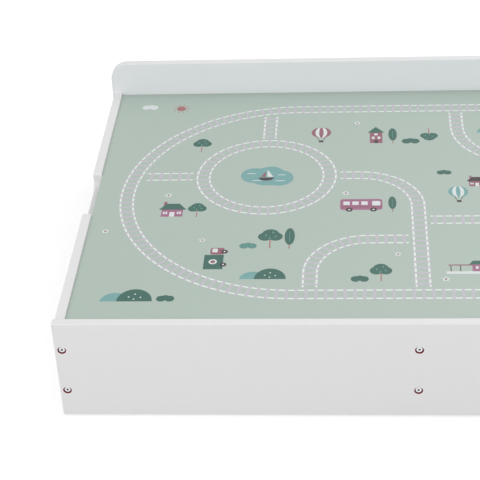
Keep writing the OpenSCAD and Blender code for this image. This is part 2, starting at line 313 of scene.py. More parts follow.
def make_upward_faces():
    """1 on faces that look up, 0 on all others."""
    shared, given, put = group("Upward Faces", {"Low": 0.5, "High": 0.9}, ["Up"])
    tree = shared
    normal = add(tree, "NewGeometry").outputs["Normal"]
    upward = add(tree, "SeparateXYZ", {0: normal}).outputs["Z"]
    tree.links.new(ramp(tree, upward, given["Low"], given["High"]), put["Up"])
    return shared


smudges = make_smudges()
upward_faces = make_upward_faces()
print("Shared effects:", len(bpy.data.node_groups))

# %% [markdown]
# ## A mask for the bolts' holes
# Twelve connector bolts hold the box together, with their heads sunk in wide holes. What lies in
# a hole has another colour than the face round it. The solid could be cut up into parts for that,
# but it has to stay as it is, so a mask finds the holes by place. Folding X and Z about the rows
# of bolts brings every bolt's axis onto one line, and the distance from that line tells what lies
# in a hole. The numbers are read off the bolts' own box, so the mask follows the model.

# %% Where the bolts are
bolts_low, bolts_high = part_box("front_bolts")
side_low, side_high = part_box("right_side_panel")
bolt_column = (side_low.x + side_high.x) / 2
head_radius = bolts_high.x - bolt_column
bolt_middle = (bolts_low.z + bolts_high.z) / 2
bolt_rise = bolts_high.z - head_radius - bolt_middle
outer_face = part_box("rear_panel")[1].y
head_face = -bolts_low.y
print("Outer bolts:", round(bolt_column * 1000, 1), "mm from the middle")
print("Bolt heads:", round(head_radius * 2000, 1), "mm wide")


# %% Bolt holes as a group
def make_bolt_holes():
    """What lies in a bolt's hole, how far from the middle plane, and how far above the axis."""
    shared, given, put = group("Bolt Holes", {"Reach": 0.007, "Opening": 0.4},
                               ["Inside", "From Plane", "Above Axis"])
    tree = shared
    place = add(tree, "SeparateXYZ", {0: position(tree)}).outputs
    across = maths(tree, "ABSOLUTE", place["X"])
    from_side = maths(tree, "ABSOLUTE", maths(tree, "SUBTRACT", across, bolt_column))
    from_column = maths(tree, "MINIMUM", across, from_side)
    rise = maths(tree, "SUBTRACT", place["Z"], bolt_middle)
    from_row = maths(tree, "SUBTRACT", maths(tree, "ABSOLUTE", rise), bolt_rise)
    aside = add(tree, "CombineXYZ", {0: from_column, 1: from_row}).outputs[0]
    from_axis = add(tree, "VectorMath", {0: aside}, operation="LENGTH").outputs["Value"]
    from_plane = maths(tree, "ABSOLUTE", place["Y"])
    near_axis = maths(tree, "LESS_THAN", from_axis, given["Reach"])
    behind = maths(tree, "LESS_THAN", from_plane, given["Opening"])
    tree.links.new(maths(tree, "MULTIPLY", near_axis, behind), put["Inside"])
    tree.links.new(from_plane, put["From Plane"])
    above = maths(tree, "MULTIPLY", from_row, maths(tree, "SIGN", rise))
    tree.links.new(above, put["Above Axis"])
    return shared


bolt_holes = make_bolt_holes()
print("Made the group", bolt_holes.name)

# %% [markdown]
# ## White lacquer
# The panels are fibreboard under white satin lacquer. It is a clean white with a soft gloss, a
# slight pebble and the faintest grey rub on the edges that hands touch. The rear panel's broad
# faces are a touch cooler: a cool light painted into their white. Round each bolt, the hole below
# the bolt's axis and a thin ring of the face beside it are wine red, darker down in the hole as
# painted shade; above the axis the hole is left white, as painted light. The two whites could be
# written out as two materials, but one function makes both, so that they differ in nothing but
# colour.

# %% White lacquer for the panels
LACQUER_WHITE = paint(238, 238, 238)
# Painted cool light: the rear panel's faces get a cooler white.
COOL_LIGHT_WHITE = paint(238, 240, 243)
RUBBED_WHITE = paint(218, 216, 213)
CORE_RED = paint(185, 44, 68)
# Painted shade: the wine red is darker deeper in each hole.
CORE_IN_SHADE = paint(105, 18, 36)
CORE_ROUGHNESS = 0.8
CORE_REACH = 0.0074
FACE_RING_REACH = 0.0003
# Painted light: above these heights over a bolt's axis the hole is left white.
WHITE_TOP_FROM, WHITE_TOP_TO = 0.0015, 0.0045


def make_lacquer(title, white):
    """Satin lacquer with wine red, painted darker as shade, in the bolts' holes. Faces that look
    up keep the plain white.
    """
    made, tree, shader = material(title)
    # Painted cool light on the faces that don't look up, when the white given is the cooler one.
    white_with_cool_light = mix_colours(tree, use(tree, upward_faces)["Up"], white, LACQUER_WHITE)
    rub = use(tree, edge_rub, Width=0.0015, Amount=0.3)["Rub"]
    worn = mix_colours(tree, rub, white_with_cool_light, RUBBED_WHITE)
    toned = use(tree, tone_drift, Color=worn, Amount=0.03, Patch_Size=0.3)["Toned Color"]
    hole = use(tree, bolt_holes, Reach=CORE_REACH, Opening=outer_face + FACE_RING_REACH)
    # Painted shade: the hole's red darkens with depth.
    near_mouth = ramp(tree, hole["From Plane"], head_face, outer_face)
    shaded_core = mix_colours(tree, near_mouth, CORE_IN_SHADE, CORE_RED)
    # Painted light: the hole is left white above the bolt's axis.
    white_top = ramp(tree, hole["Above Axis"], WHITE_TOP_FROM, WHITE_TOP_TO)
    red_in_hole = maths(tree, "MULTIPLY", hole["Inside"], maths(tree, "SUBTRACT", 1.0, white_top))
    colour = mix_colours(tree, red_in_hole, toned, shaded_core)
    smooth = use(tree, smudges, Base=0.42, Spread=0.16)["Roughness"]
    roughness = maths(tree, "MAXIMUM", smooth, maths(tree, "MULTIPLY", red_in_hole, CORE_ROUGHNESS))
    height = use(tree, roller_skin, Pebble_Size=0.0014)["Height"]
    finish_surface(tree, shader, colour, roughness, height, relief=0.000012)
    return made


white_lacquer = make_lacquer("white_lacquer", LACQUER_WHITE)
cool_light_lacquer = make_lacquer("cool_light_lacquer", COOL_LIGHT_WHITE)
print("Nodes in the lacquer:", len(white_lacquer.node_tree.nodes))

# %% [markdown]
# ## Thin sheets under the bays
# The base sheets are hardboard: white foil on the face that the toys lie on, and bare brown
# fibre on the other face and on the edges. Each sheet could have two materials, one for its top,
# but then the faces would have to be picked. The mask of upward faces does it in one material.

# %% Foiled hardboard for the base sheets
FOIL_WHITE = paint(233, 232, 229)
FIBRE_BROWN = paint(138, 103, 72)
FIBRE_DARK = paint(104, 76, 52)


def make_foiled_hardboard():
    """White foil on top, and fibres on all other faces."""
    made, tree, shader = material("foiled_hardboard")
    fibres = noise(tree, position(tree), scale=900.0, detail=4.0)
    brown = mix_colours(tree, ramp(tree, fibres, low=0.35, high=0.65), FIBRE_DARK, FIBRE_BROWN)
    colour = mix_colours(tree, use(tree, upward_faces)["Up"], brown, FOIL_WHITE)
    toned = use(tree, tone_drift, Color=colour, Amount=0.05, Patch_Size=0.2)["Toned Color"]
    roughness = use(tree, smudges, Base=0.55, Spread=0.2)["Roughness"]
    finish_surface(tree, shader, toned, roughness, fibres, relief=0.00002)
    return made


foiled_hardboard = make_foiled_hardboard()
print("Nodes in the hardboard:", len(foiled_hardboard.node_tree.nodes))

# %% [markdown]
# ## The board's face
# The play board is printed on its upper face only, in a greyed sage green under a satin film. Its
# edges and its underside stay white. Toys leave hairlines in such a film. They could be drawn as
# lines of colour or cut in as a bump, but real ones show only as slight changes of gloss, so they
# go into the roughness. The inks lie under the same film, so the hairlines are a group. The last
# two centimetres before the raised rear panel are darkened: that is painted shade from the panel.

# %% Hairlines in a film
FILM_ROUGHNESS = 0.36
SCRATCH_ROUGHNESS = 0.12
SCRATCH_STRETCH = (7.0, 900.0, 1.0)


def make_hairlines():
    """Thin, long scratches in two directions, as a mask."""
    shared, given, put = group("Hairlines", {"First Turn": 0.5, "Second Turn": 2.1}, ["Scratch"])
    tree = shared
    sets = []
    for turn in ("First Turn", "Second Turn"):
        drawn_out = times(tree, spun(tree, position(tree), given[turn]), SCRATCH_STRETCH)
        lines = noise(tree, drawn_out, scale=1.0, detail=2.0)
        sets.append(ramp(tree, lines, low=0.68, high=0.74))
    tree.links.new(maths(tree, "MAXIMUM", *sets), put["Scratch"])
    return shared


hairlines = make_hairlines()


def film_roughness(tree):
    """Satin film with smudges and hairlines."""
    smooth = use(tree, smudges, Base=FILM_ROUGHNESS, Spread=0.12)["Roughness"]
    scratch = use(tree, hairlines)["Scratch"]
    return maths(tree, "MULTIPLY_ADD", scratch, SCRATCH_ROUGHNESS, smooth, clamp=True)


print("Made the group", hairlines.name)

# %% Sage print film
SAGE = paint(181, 197, 187)
BOARD_EDGE_WHITE = paint(228, 228, 224)
# Painted shade along the rear panel: how far it reaches, and how dark it gets.
SEAM_WIDTH = 0.020
SEAM_SHADE = 0.86

board_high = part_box("play_board")[1]
board_top = board_high.z


def seam_painted_shade(tree):
    """1 on the open board, falling to a painted shade along the rear panel."""
    toward_rear = add(tree, "SeparateXYZ", {0: position(tree)}).outputs["Y"]
    near_seam = ramp(tree, toward_rear, board_high.y - SEAM_WIDTH, board_high.y)
    return maths(tree, "MULTIPLY_ADD", near_seam, SEAM_SHADE - 1.0, 1.0)


def make_sage_film():
    """Sage green on top, and white on all other faces."""
    made, tree, shader = material("sage_film")
    base = mix_colours(tree, use(tree, upward_faces)["Up"], BOARD_EDGE_WHITE, SAGE)
    rub = use(tree, edge_rub, Width=0.0012, Amount=0.4)["Rub"]
    worn = mix_colours(tree, rub, base, BOARD_EDGE_WHITE)
    # Painted shade: the colour darkens towards the raised rear panel.
    seam_shaded = scaled(tree, worn, seam_painted_shade(tree))
    toned = use(tree, tone_drift, Color=seam_shaded, Amount=0.035, Patch_Size=0.22)["Toned Color"]
    grain = noise(tree, position(tree), scale=1600.0, detail=2.0)
    finish_surface(tree, shader, toned, film_roughness(tree), grain, relief=0.000006)
    return made


sage_film = make_sage_film()
print("Board's face at", round(board_top * 1000, 1), "mm")

# %% [markdown]
# ## Wood out of sight
# Under the board are planed pine ledges, and beech dowels line up the panels. Grain is a set of
# long streaks along the strip. It could be a picture of wood, but a noise that is stretched along
# the grain costs nothing and never repeats. The strips run in two directions, so the grain group
# is told how far to turn.

# %% Wood grain
PINE_PALE, PINE_DARK = paint(231, 204, 158), paint(200, 156, 103)
BEECH_PALE, BEECH_DARK = paint(219, 183, 140), paint(186, 143, 101)
PINE_RING, BEECH_RING = 0.0045, 0.0016
ALONG_GRAIN = 0.03


def make_wood_grain():
    """Grain along X, turned by Turn: a colour between a pale and a dark wood, and a height."""
    shared, given, put = group(
        "Wood Grain", {"Pale": PINE_PALE, "Dark": PINE_DARK, "Turn": 0.0, "Ring Width": PINE_RING},
        ["Wood Color", "Height"])
    tree = shared
    per_ring = maths(tree, "DIVIDE", 1.0, given["Ring Width"])
    along = maths(tree, "MULTIPLY", per_ring, ALONG_GRAIN)
    stretch = add(tree, "CombineXYZ", {0: along, 1: per_ring, 2: per_ring}).outputs[0]
    stretched = times(tree, spun(tree, position(tree), given["Turn"]), stretch)
    rings = noise(tree, stretched, scale=1.0, detail=3.0, distortion=0.6)
    pores = noise(tree, stretched, scale=9.0, detail=2.0)
    grain = maths(tree, "MULTIPLY_ADD", pores, 0.3, maths(tree, "MULTIPLY", rings, 0.7))
    shade = ramp(tree, grain, low=0.36, high=0.64)
    tree.links.new(mix_colours(tree, shade, given["Pale"], given["Dark"]), put["Wood Color"])
    tree.links.new(shade, put["Height"])
    return shared


wood_grain = make_wood_grain()
print("Made the group", wood_grain.name)


# %% Pine and beech
def make_wood(title, pale, dark, turn, ring_width):
    """Bare planed wood with its grain turned by an angle."""
    made, tree, shader = material(title)
    grain = use(tree, wood_grain, Pale=pale, Dark=dark, Turn=turn, Ring_Width=ring_width)
    roughness = use(tree, smudges, Base=0.62, Spread=0.12)["Roughness"]
    finish_surface(tree, shader, grain["Wood Color"], roughness, grain["Height"], relief=0.00004)
    return made


QUARTER_TURN = math.pi / 2
pine_along_x = make_wood("pine_along_x", PINE_PALE, PINE_DARK, 0.0, PINE_RING)
pine_along_y = make_wood("pine_along_y", PINE_PALE, PINE_DARK, QUARTER_TURN, PINE_RING)
beech_along_y = make_wood("beech_along_y", BEECH_PALE, BEECH_DARK, QUARTER_TURN, BEECH_RING)
print("Woods: pine along X, pine along Y and beech")

# %% [markdown]
# ## Plated fasteners and plastic glides
# The bolt heads are bright nickel with a fine turned finish, which a stretched noise gives as a
# bump of a few thousandths of a millimetre. Their hexagon sockets are painted a darker grey as
# shade, and made rougher; the mask of the bolts' holes finds them again with a smaller reach.
# Screws and nuts are zinc, the nuts with the yellowish tint of passivation. Each metal could be
# built on its own, but little except colour and gloss tells them apart, so one function makes all
# four. The glides under the panels are matt white plastic.


# %% Turned metal
def make_turned_metal():
    """Fine rings and streaks of turned metal, as a height."""
    shared, given, put = group("Turned Metal", {"Across": 4000.0, "Along": 300.0}, ["Height"])
    tree = shared
    parts = {0: given["Across"], 1: given["Along"], 2: given["Across"]}
    stretch = add(tree, "CombineXYZ", parts).outputs[0]
    rings = noise(tree, times(tree, position(tree), stretch), scale=1.0, detail=2.0)
    tree.links.new(rings, put["Height"])
    return shared


turned_metal = make_turned_metal()
print("Made the group", turned_metal.name)

# %% Metals
NICKEL = paint(226, 226, 228)
ZINC = paint(205, 207, 210)
YELLOW_ZINC = paint(214, 198, 150)
NAIL_STEEL = paint(176, 178, 182)
# Painted shade: the hexagon sockets are a darker grey, and rougher.
SOCKET_SHADE_GREY = paint(142, 142, 142)
SOCKET_ROUGHNESS = 0.6
SOCKET_REACH = 0.0024
PLATING_SKIN = 0.0001


def make_metal(title, colour, base, has_socket=False):
    """Plated steel of that colour and roughness."""
    made, tree, shader = material(title, metallic=1.0)
    toned = use(tree, tone_drift, Color=colour, Amount=0.12, Patch_Size=0.01)["Toned Color"]
    roughness = use(tree, smudges, Base=base, Spread=0.14)["Roughness"]
    if has_socket:
        hole = use(tree, bolt_holes, Reach=SOCKET_REACH, Opening=head_face - PLATING_SKIN)
        # Painted shade in the socket.
        toned = mix_colours(tree, hole["Inside"], toned, SOCKET_SHADE_GREY)
        socket_rough = maths(tree, "MULTIPLY", hole["Inside"], SOCKET_ROUGHNESS)
        roughness = maths(tree, "MAXIMUM", roughness, socket_rough)
    height = use(tree, turned_metal)["Height"]
    finish_surface(tree, shader, toned, roughness, height, relief=0.000003)
    return made


bolt_nickel = make_metal("bolt_nickel", NICKEL, 0.24, has_socket=True)
screw_zinc = make_metal("screw_zinc", ZINC, 0.32)
nut_zinc = make_metal("nut_zinc", YELLOW_ZINC, 0.34)
nail_steel = make_metal("nail_steel", NAIL_STEEL, 0.38)
print("Metals: nickel, zinc, yellow zinc and bare steel")

# %% Glide plastic
GLIDE_WHITE = paint(222, 222, 217)


def make_glide_plastic():
    """Matt moulded plastic with a fine pebble."""
    made, tree, shader = material("glide_plastic")
    toned = use(tree, tone_drift, Color=GLIDE_WHITE, Amount=0.06, Patch_Size=0.01)["Toned Color"]
    roughness = use(tree, smudges, Base=0.5, Spread=0.15)["Roughness"]
    height = use(tree, roller_skin, Pebble_Size=0.0004)["Height"]
    finish_surface(tree, shader, toned, roughness, height, relief=0.00001)
    return made


glide_plastic = make_glide_plastic()
print("Materials so far:", len(bpy.data.materials))

# %% [markdown]
# ## Every solid gets its finish
# The real table comes as loose parts that are finished before they are put together, and here
# each solid gets one material. It could be given in a line for each solid, but a list of slots,
# finishes and names shows at a glance what is made of what. The ledges are told apart by their
# names: those at the sides run along Y.

# %% Give every solid its finish
FINISHES = [  # slot, finish, solids
    ("white_lacquer", white_lacquer,
     ["front_panel", "left_side_panel", "right_side_panel", "centre_divider"]),
    ("white_lacquer", cool_light_lacquer, ["rear_panel"]),
    ("white_sheet", foiled_hardboard, ["left_base_sheet", "right_base_sheet"]),
    ("printed_board", sage_film, ["play_board"]),
    ("bolt_steel", bolt_nickel, ["front_bolts", "rear_bolts"]),
    ("screw_zinc", screw_zinc, ["ledge_screws"]),
    ("nut_zinc", nut_zinc, ["barrel_nuts"]),
    ("nail_steel", nail_steel, ["glide_nails"]),
    ("glide_plastic", glide_plastic, ["floor_glides"]),
    ("beech_dowel", beech_along_y, ["wooden_dowels"]),
]


def coat(node, finish):
    """Puts one finish on all of a solid."""
    solid = nodes[node]
    solid.data.materials.clear()
    solid.data.materials.append(finish)


for slot, finish, names in FINISHES:
    for name in names:
        coat(name, finish)
for name in nodes:
    if name.endswith("_ledge"):
        along_y = name.startswith(("left", "right"))
        coat(name, pine_along_y if along_y else pine_along_x)
print("Finishes given to", len(nodes), "solids")

# %% [markdown]
# ## How the board is printed
# A print could be an image, but here it is cut from thin layers of colour, like a stencil print:
# each colour is one mesh of flat closed shapes that stand on the board's upper face. Each layer is
# a twentieth of a millimetre thick, and a shape printed over another one is one layer thicker, so
# it covers it. The pictures are drawn in millimetres by small functions, so that they can be
# placed, turned and resized, and their edges stay sharp from any distance.

# %% Ink colours
INKS = {
    "rail_white": paint(239, 244, 242),
    "sleeper_lilac": paint(200, 196, 205),
    "leaf_green": paint(49, 101, 89),
    "pine_teal": paint(93, 144, 137),
    "water_teal": paint(120, 170, 169),
    "mauve": paint(163, 103, 136),
    "rose": paint(150, 93, 109),
    "snow": paint(226, 232, 231),
    "plum": paint(54, 34, 42),
    "blush": paint(173, 110, 112),
}
printed = {name: bmesh.new() for name in INKS}


def make_ink(name, colour):
    """A printed colour: slightly uneven, under the same satin film as the board."""
    made, tree, shader = material("ink_" + name)
    toned = use(tree, tone_drift, Color=colour, Amount=0.06, Patch_Size=0.04)["Toned Color"]
    finish_surface(tree, shader, toned, film_roughness(tree))
    return made


print("Inks:", len(INKS))

# %% One shape of ink
INK_LAYER = 0.00005
MM = 0.001


def stamp(ink, outline, layer=0):
    """Prints one filled outline, given in metres and anticlockwise, as a flat closed solid."""
    mesh = printed[ink]
    ring_low, ring_high = ([mesh.verts.new((x, y, board_top + rise)) for x, y in outline]
                           for rise in (0.0, (layer + 1) * INK_LAYER))
    mesh.faces.new(ring_high)
    mesh.faces.new(reversed(ring_low))
    count = len(outline)
    for i in range(count):
        j = (i + 1) % count
        mesh.faces.new((ring_low[i], ring_low[j], ring_high[j], ring_high[i]))


print("A layer of ink is", INK_LAYER / MM, "mm thick")

# %% [markdown]
# ## Outlines
# The pictures are made from few shapes: rectangles with sharp or round corners, ellipses, half
# rounds and soft clumps. A clump is the outline round several circles that all hold one point,
# which is how a child draws a tree's crown or a cloud. It could be made by joining the circles'
# meshes, but then their faces would have to be merged. Here, for each direction, the farthest
# circle gives the outline's distance, and one clean outline comes out.


# %% Shapes in millimetres
def rectangle(left, bottom, right, top):
    """A rectangle from its edges."""
    return [(left, bottom), (right, bottom), (right, top), (left, top)]


def ellipse(x, y, across, up, start=0.0, sweep=360.0, points=28):
    """An ellipse or a part of one. A part is closed by a straight line."""
    spaces = points if sweep >= 360.0 else points - 1
    angles = [math.radians(start + sweep * i / spaces) for i in range(points)]
    return [(x + across * math.cos(a), y + up * math.sin(a)) for a in angles]


def rounded(left, bottom, right, top, radius):
    """A rectangle with round corners."""
    corners = ((right, bottom, -90), (right, top, 0), (left, top, 90), (left, bottom, 180))
    outline = []
    for x, y, start in corners:
        inner_x = x - radius if x == right else x + radius
        inner_y = y - radius if y == top else y + radius
        outline += ellipse(inner_x, inner_y, radius, radius, start=start, sweep=90, points=5)
    return outline


print("Points in an ellipse:", len(ellipse(0, 0, 1, 1)))


# %% Clumps, and outlines moved and turned
def clump(circles, points=44):
    """The outline round circles (x, y, radius) that all hold the point 0, 0."""
    outline = []
    for i in range(points):
        angle = 2 * math.pi * i / points
        reach = 0.0
        for x, y, radius in circles:
            along = x * math.cos(angle) + y * math.sin(angle)
            aside = x * math.sin(angle) - y * math.cos(angle)
            if radius > abs(aside):
                reach = max(reach, along + math.sqrt(radius ** 2 - aside ** 2))
        outline.append((reach * math.cos(angle), reach * math.sin(angle)))
    return outline


def shifted(outline, x, y):
    """The outline moved by x, y."""
    return [(px + x, py + y) for px, py in outline]


def turned(outline, angle):
    """The outline turned about 0, 0 by an angle in degrees."""
    c, s = math.cos(math.radians(angle)), math.sin(math.radians(angle))
    return [(x * c - y * s, x * s + y * c) for x, y in outline]


print("Points in a clump:", len(clump([(0, 0, 1)])))


# %% Place a picture
def place_picture(picture, x, y, turn=0.0, size=1.0):
    """Prints a picture with its foot at x, y in millimetres, and returns the points it covers."""
    points = []
    for ink, outline, layer in picture:
        placed = [(x + size * px, y + size * py) for px, py in turned(outline, turn)]
        stamp(ink, [(px * MM, py * MM) for px, py in placed], layer)
        points += placed
    return points


print("Ready to print with", len(printed), "inks")

# %% [markdown]
# ## The pictures
# The board shows a small countryside: round trees and poplars, cottages, a bus and a van, a pond
# with a boat, balloons, hills, clouds and a station. Each picture is a list of shapes, and each
# shape has an ink, an outline and a layer. A picture could be one mesh of its own that is copied
# about, but as a list it can be drawn again in other inks.


# %% Trees
def round_tree(ink="leaf_green"):
    """A clump of leaves on a trunk, with four light leaves."""
    crown = shifted(clump([(0, 4, 13), (-8, -3, 11), (8, -3, 11)]), 0, 34)
    shapes = [("blush", rectangle(-1.0, 0, 1.0, 24), 0), (ink, crown, 1)]
    for x, y in ((-7, 35), (4, 42), (8, 31), (-1, 27)):
        shapes.append(("pine_teal", ellipse(x, y, 1.6, 3.4, points=12), 2))
    return shapes


def poplar(ink="leaf_green"):
    """A tall tree with a light line along its middle."""
    return [("blush", rectangle(-0.9, 0, 0.9, 16), 0), (ink, ellipse(0, 38, 9, 26), 1),
            ("pine_teal", rectangle(-0.7, 22, 0.7, 52), 2)]


print("Shapes in a round tree:", len(round_tree()))


# %% Bushes and flowers
def bush(ink="leaf_green"):
    """A low clump of leaves."""
    return [(ink, shifted(clump([(0, 3, 8), (-8, 0, 9), (8, 0, 9)]), 0, 8), 0)]


def flower():
    """Five petals round a heart that covers their feet. Every other petal is one layer higher."""
    shapes = []
    for i in range(5):
        x, y = turned([(4.6, 0)], 72 * i + 18)[0]
        shapes.append(("snow", ellipse(x, y, 2.6, 2.6, points=14), i % 2))
    return shapes + [("rose", ellipse(0, 0, 2.4, 2.4, points=14), 2)]


print("Shapes in a flower:", len(flower()))


# %% Houses
def cottage(wall="mauve", roof="leaf_green", chimney="rose"):
    """A low house with a door and two windows."""
    shapes = [(wall, rectangle(-17, 0, 17, 22), 0),
              (roof, [(-22, 20), (22, 20), (10, 37), (-10, 37)], 1),
              (chimney, rectangle(-15, 30, -10, 43), 0), ("snow", rectangle(-4, 0, 4, 13), 1)]
    for x in (-11, 11):
        shapes.append(("snow", rectangle(x - 3.4, 7, x + 3.4, 14), 1))
        shapes.append((wall, rectangle(x - 0.5, 7, x + 0.5, 14), 2))
    return shapes


def tower_house(wall="rose", roof="leaf_green"):
    """A narrow house with a steep roof and a round window."""
    shapes = [(wall, rectangle(-11, 0, 11, 38), 0), (roof, [(-15, 36), (15, 36), (0, 56)], 1),
              ("snow", ellipse(0, 30, 3.4, 3.4, points=18), 1),
              ("plum", rectangle(-3.2, 0, 3.2, 10), 1)]
    for x in (-5, 5):
        shapes.append(("snow", rectangle(x - 2.4, 14, x + 2.4, 22), 1))
    return shapes


print("Shapes in a cottage:", len(cottage()))


# %% The station
def station():
    """A long platform with a low building, a clock and two canopies on posts."""
    shapes = [("snow", rectangle(-70, -7, 70, 0), 0), ("mauve", rectangle(-26, 0, 26, 22), 0),
              ("leaf_green", [(-31, 20), (31, 20), (24, 31), (-24, 31)], 1),
              ("plum", rectangle(-4.5, 0, 4.5, 13), 1),
              ("snow", ellipse(0, 25.5, 3.6, 3.6, points=18), 2),
              ("rose", rectangle(-66, 17, -26, 20), 0), ("rose", rectangle(26, 17, 66, 20), 0)]
    for x in (-62, -46, 46, 62):
        shapes.append(("plum", rectangle(x - 0.8, 0, x + 0.8, 17), 0))
    for x in (-18, -11, 11, 18):
        shapes.append(("snow", rectangle(x - 2.2, 7, x + 2.2, 15), 1))
    return shapes


print("Shapes in the station:", len(station()))


# %% Bus and van
def wheels(places, radius=5.5):
    """Dark wheels with light hubs."""
    shapes = []
    for x in places:
        shapes.append(("plum", ellipse(x, radius, radius, radius, points=20), 2))
        shapes.append(("snow", ellipse(x, radius, 1.8, 1.8, points=12), 3))
    return shapes


def bus(body="mauve", stripe="rose"):
    """A bus with a stripe, three windows and a windscreen."""
    shapes = [(body, rounded(-33, 5, 33, 36, 5), 0), (stripe, rectangle(-33, 12, 33, 15.5), 1)]
    for x in (-23, -9, 5):
        shapes.append(("snow", rectangle(x - 5, 19, x + 5, 29), 1))
    shapes.append(("snow", rounded(17, 17, 30, 30, 2.5), 1))
    return shapes + wheels((-19, 19))


def van(box="leaf_green", cab="rose"):
    """A delivery van with a disc on its box."""
    shapes = [(box, rectangle(-31, 6, 10, 38), 0), (cab, rounded(11, 6, 30, 29, 4), 0),
              ("snow", rounded(17, 17, 28, 26, 2), 1),
              ("snow", ellipse(-10, 23, 7, 7, points=24), 1),
              (cab, ellipse(-10, 23, 4, 4, points=20), 2)]
    return shapes + wheels((-18, 19))


print("Shapes in a bus and a van:", len(bus()), "and", len(van()))


# %% Water and air
def pond_with_boat():
    """A pond with ripples and a boat under two sails."""
    shapes = [("water_teal", clump([(0, 0, 24), (-17, 3, 20), (18, -4, 21), (6, 8, 19)]), 0)]
    for x, y, wide in ((-22, 8, 7), (20, -12, 8), (22, 4, 6), (-14, -11, 7)):
        shapes.append(("snow", ellipse(x, y, wide, 0.9, points=14), 1))
    shapes.append(("plum", ellipse(0, -3, 11, 8, start=180, sweep=180, points=16), 1))
    shapes.append(("snow", [(1, -1), (10, -1), (1, 18)], 1))
    shapes.append(("rose", [(-1, -1), (-1, 14), (-8, -1)], 1))
    return shapes


def balloon(first="rose", second="snow"):
    """A round balloon in upright stripes, with its basket on two ropes."""
    shapes = [(first, ellipse(0, 42, 19, 20), 0), (second, ellipse(0, 42, 11.5, 20), 1),
              (first, ellipse(0, 42, 4.2, 20), 2), ("plum", rectangle(-4.2, 5, 4.2, 12), 0)]
    for side in (-1, 1):
        rope = [(side * 3.4, 12), (side * 4.4, 12), (side * 8.2, 24.6), (side * 7.2, 25.2)]
        shapes.append(("plum", rope if side > 0 else rope[::-1], 3))
    return shapes


def cloud():
    """A white clump."""
    puffs = clump([(0, 4, 12), (-13, 1, 14), (13, 0, 14), (5, 7, 10)])
    return [("snow", shifted(puffs, 0, 10), 0)]


print("Shapes in the pond and a balloon:", len(pond_with_boat()), "and", len(balloon()))


# %% Hills and sun
def hills():
    """Two hills, one with four flowers."""
    shapes = [("water_teal", ellipse(-16, 0, 26, 24, sweep=180, points=24), 0),
              ("leaf_green", ellipse(16, 0, 30, 34, sweep=180, points=28), 1)]
    for x, y in ((6, 12), (16, 20), (26, 11), (15, 6)):
        shapes.append(("snow", ellipse(x, y, 1.6, 1.6, points=10), 2))
    return shapes


def sun():
    """A disc with ten rays."""
    rays = [("blush", turned(rectangle(15, -1.1, 21, 1.1), 36 * i), 0) for i in range(10)]
    return [("blush", ellipse(0, 0, 11.5, 11.5), 0)] + rays


print("Shapes in the hills and the sun:", len(hills()), "and", len(sun()))

# %% [markdown]
# ## The railway
# Toy track is laid from straights and curves, and so is this one: a route starts at a point with
# a heading, and each piece is a length, or a radius and an angle. Two white rails follow the route
# on either side, and lilac sleepers lie over them at an even pitch. Blender's curves could follow
# such a route too, but a mesh that is made point by point is sure to be flat and closed. Where
# one route meets another it stops a little short, so that no two prints cover each other.

# %% Routes
STEP = 4.0


def follow(x, y, heading, pieces):
    """Points (x, y, angle) of a route. A piece is a length, or (radius, degrees to the left)."""
    angle = math.radians(heading)
    route = [(x, y, angle)]
    for piece in pieces:
        bend = math.radians(piece[1]) if isinstance(piece, tuple) else 0.0
        length = piece[0] * abs(bend) if bend else piece
        steps = max(1, round(length / STEP))
        for _ in range(steps):
            middle = angle + bend / steps / 2
            x += length / steps * math.cos(middle)
            y += length / steps * math.sin(middle)
            angle += bend / steps
            route.append((x, y, angle))
    return route


print("Points along a straight of 100 mm:", len(follow(0, 0, 0, [100])))

# %% Rails
RAIL_WIDTH = 3.4


def beside(point, offset, rise):
    """The place that far left of a route's point and that high above the board, in metres."""
    x, y, angle = point
    across, up = x - offset * math.sin(angle), y + offset * math.cos(angle)
    return across * MM, up * MM, board_top + rise


def print_rail(route, offset, closed):
    """One rail, as a closed strip. A closed route's strip joins up with itself."""
    mesh = printed["rail_white"]
    right, left = offset - RAIL_WIDTH / 2, offset + RAIL_WIDTH / 2
    corners = ((right, 0.0), (right, INK_LAYER), (left, INK_LAYER), (left, 0.0))
    rings = [[mesh.verts.new(beside(point, aside, rise)) for aside, rise in corners]
             for point in (route[:-1] if closed else route)]
    pairs = list(zip(rings, rings[1:]))
    if closed:
        pairs.append((rings[-1], rings[0]))
    else:
        mesh.faces.new(reversed(rings[0]))
        mesh.faces.new(rings[-1])
    for near, far in pairs:
        for i in range(4):
            j = (i + 1) % 4
            mesh.faces.new((near[i], near[j], far[j], far[i]))


print("Rails are", RAIL_WIDTH, "mm wide")

# %% Sleepers
SLEEPER_LENGTH = 30.0
SLEEPER_WIDTH = 5.3
SLEEPER_PITCH = 16.3


def print_sleepers(route):
    """Sleepers over the rails, at the even pitch nearest to the usual one. Returns how many."""
    lengths = [math.dist(near[:2], far[:2]) for near, far in zip(route, route[1:])]
    count = round(sum(lengths) / SLEEPER_PITCH)
    pitch = sum(lengths) / count
    half_width, half_length = SLEEPER_WIDTH / 2, SLEEPER_LENGTH / 2
    bar = rectangle(-half_width, -half_length, half_width, half_length)
    passed, due = 0.0, pitch / 2
    for length, (x0, y0, a0), (x1, y1, a1) in zip(lengths, route, route[1:]):
        while due < passed + length:
            share = (due - passed) / length
            x, y = x0 + share * (x1 - x0), y0 + share * (y1 - y0)
            angle = math.degrees(a0 + share * (a1 - a0))
            place_picture([("sleeper_lilac", bar, 1)], x, y, angle)
            due += pitch
        passed += length
    return count


print("Sleepers are", SLEEPER_WIDTH, "by", SLEEPER_LENGTH, "mm")

# %% Whole tracks
GAUGE = 23.0
track_points = []


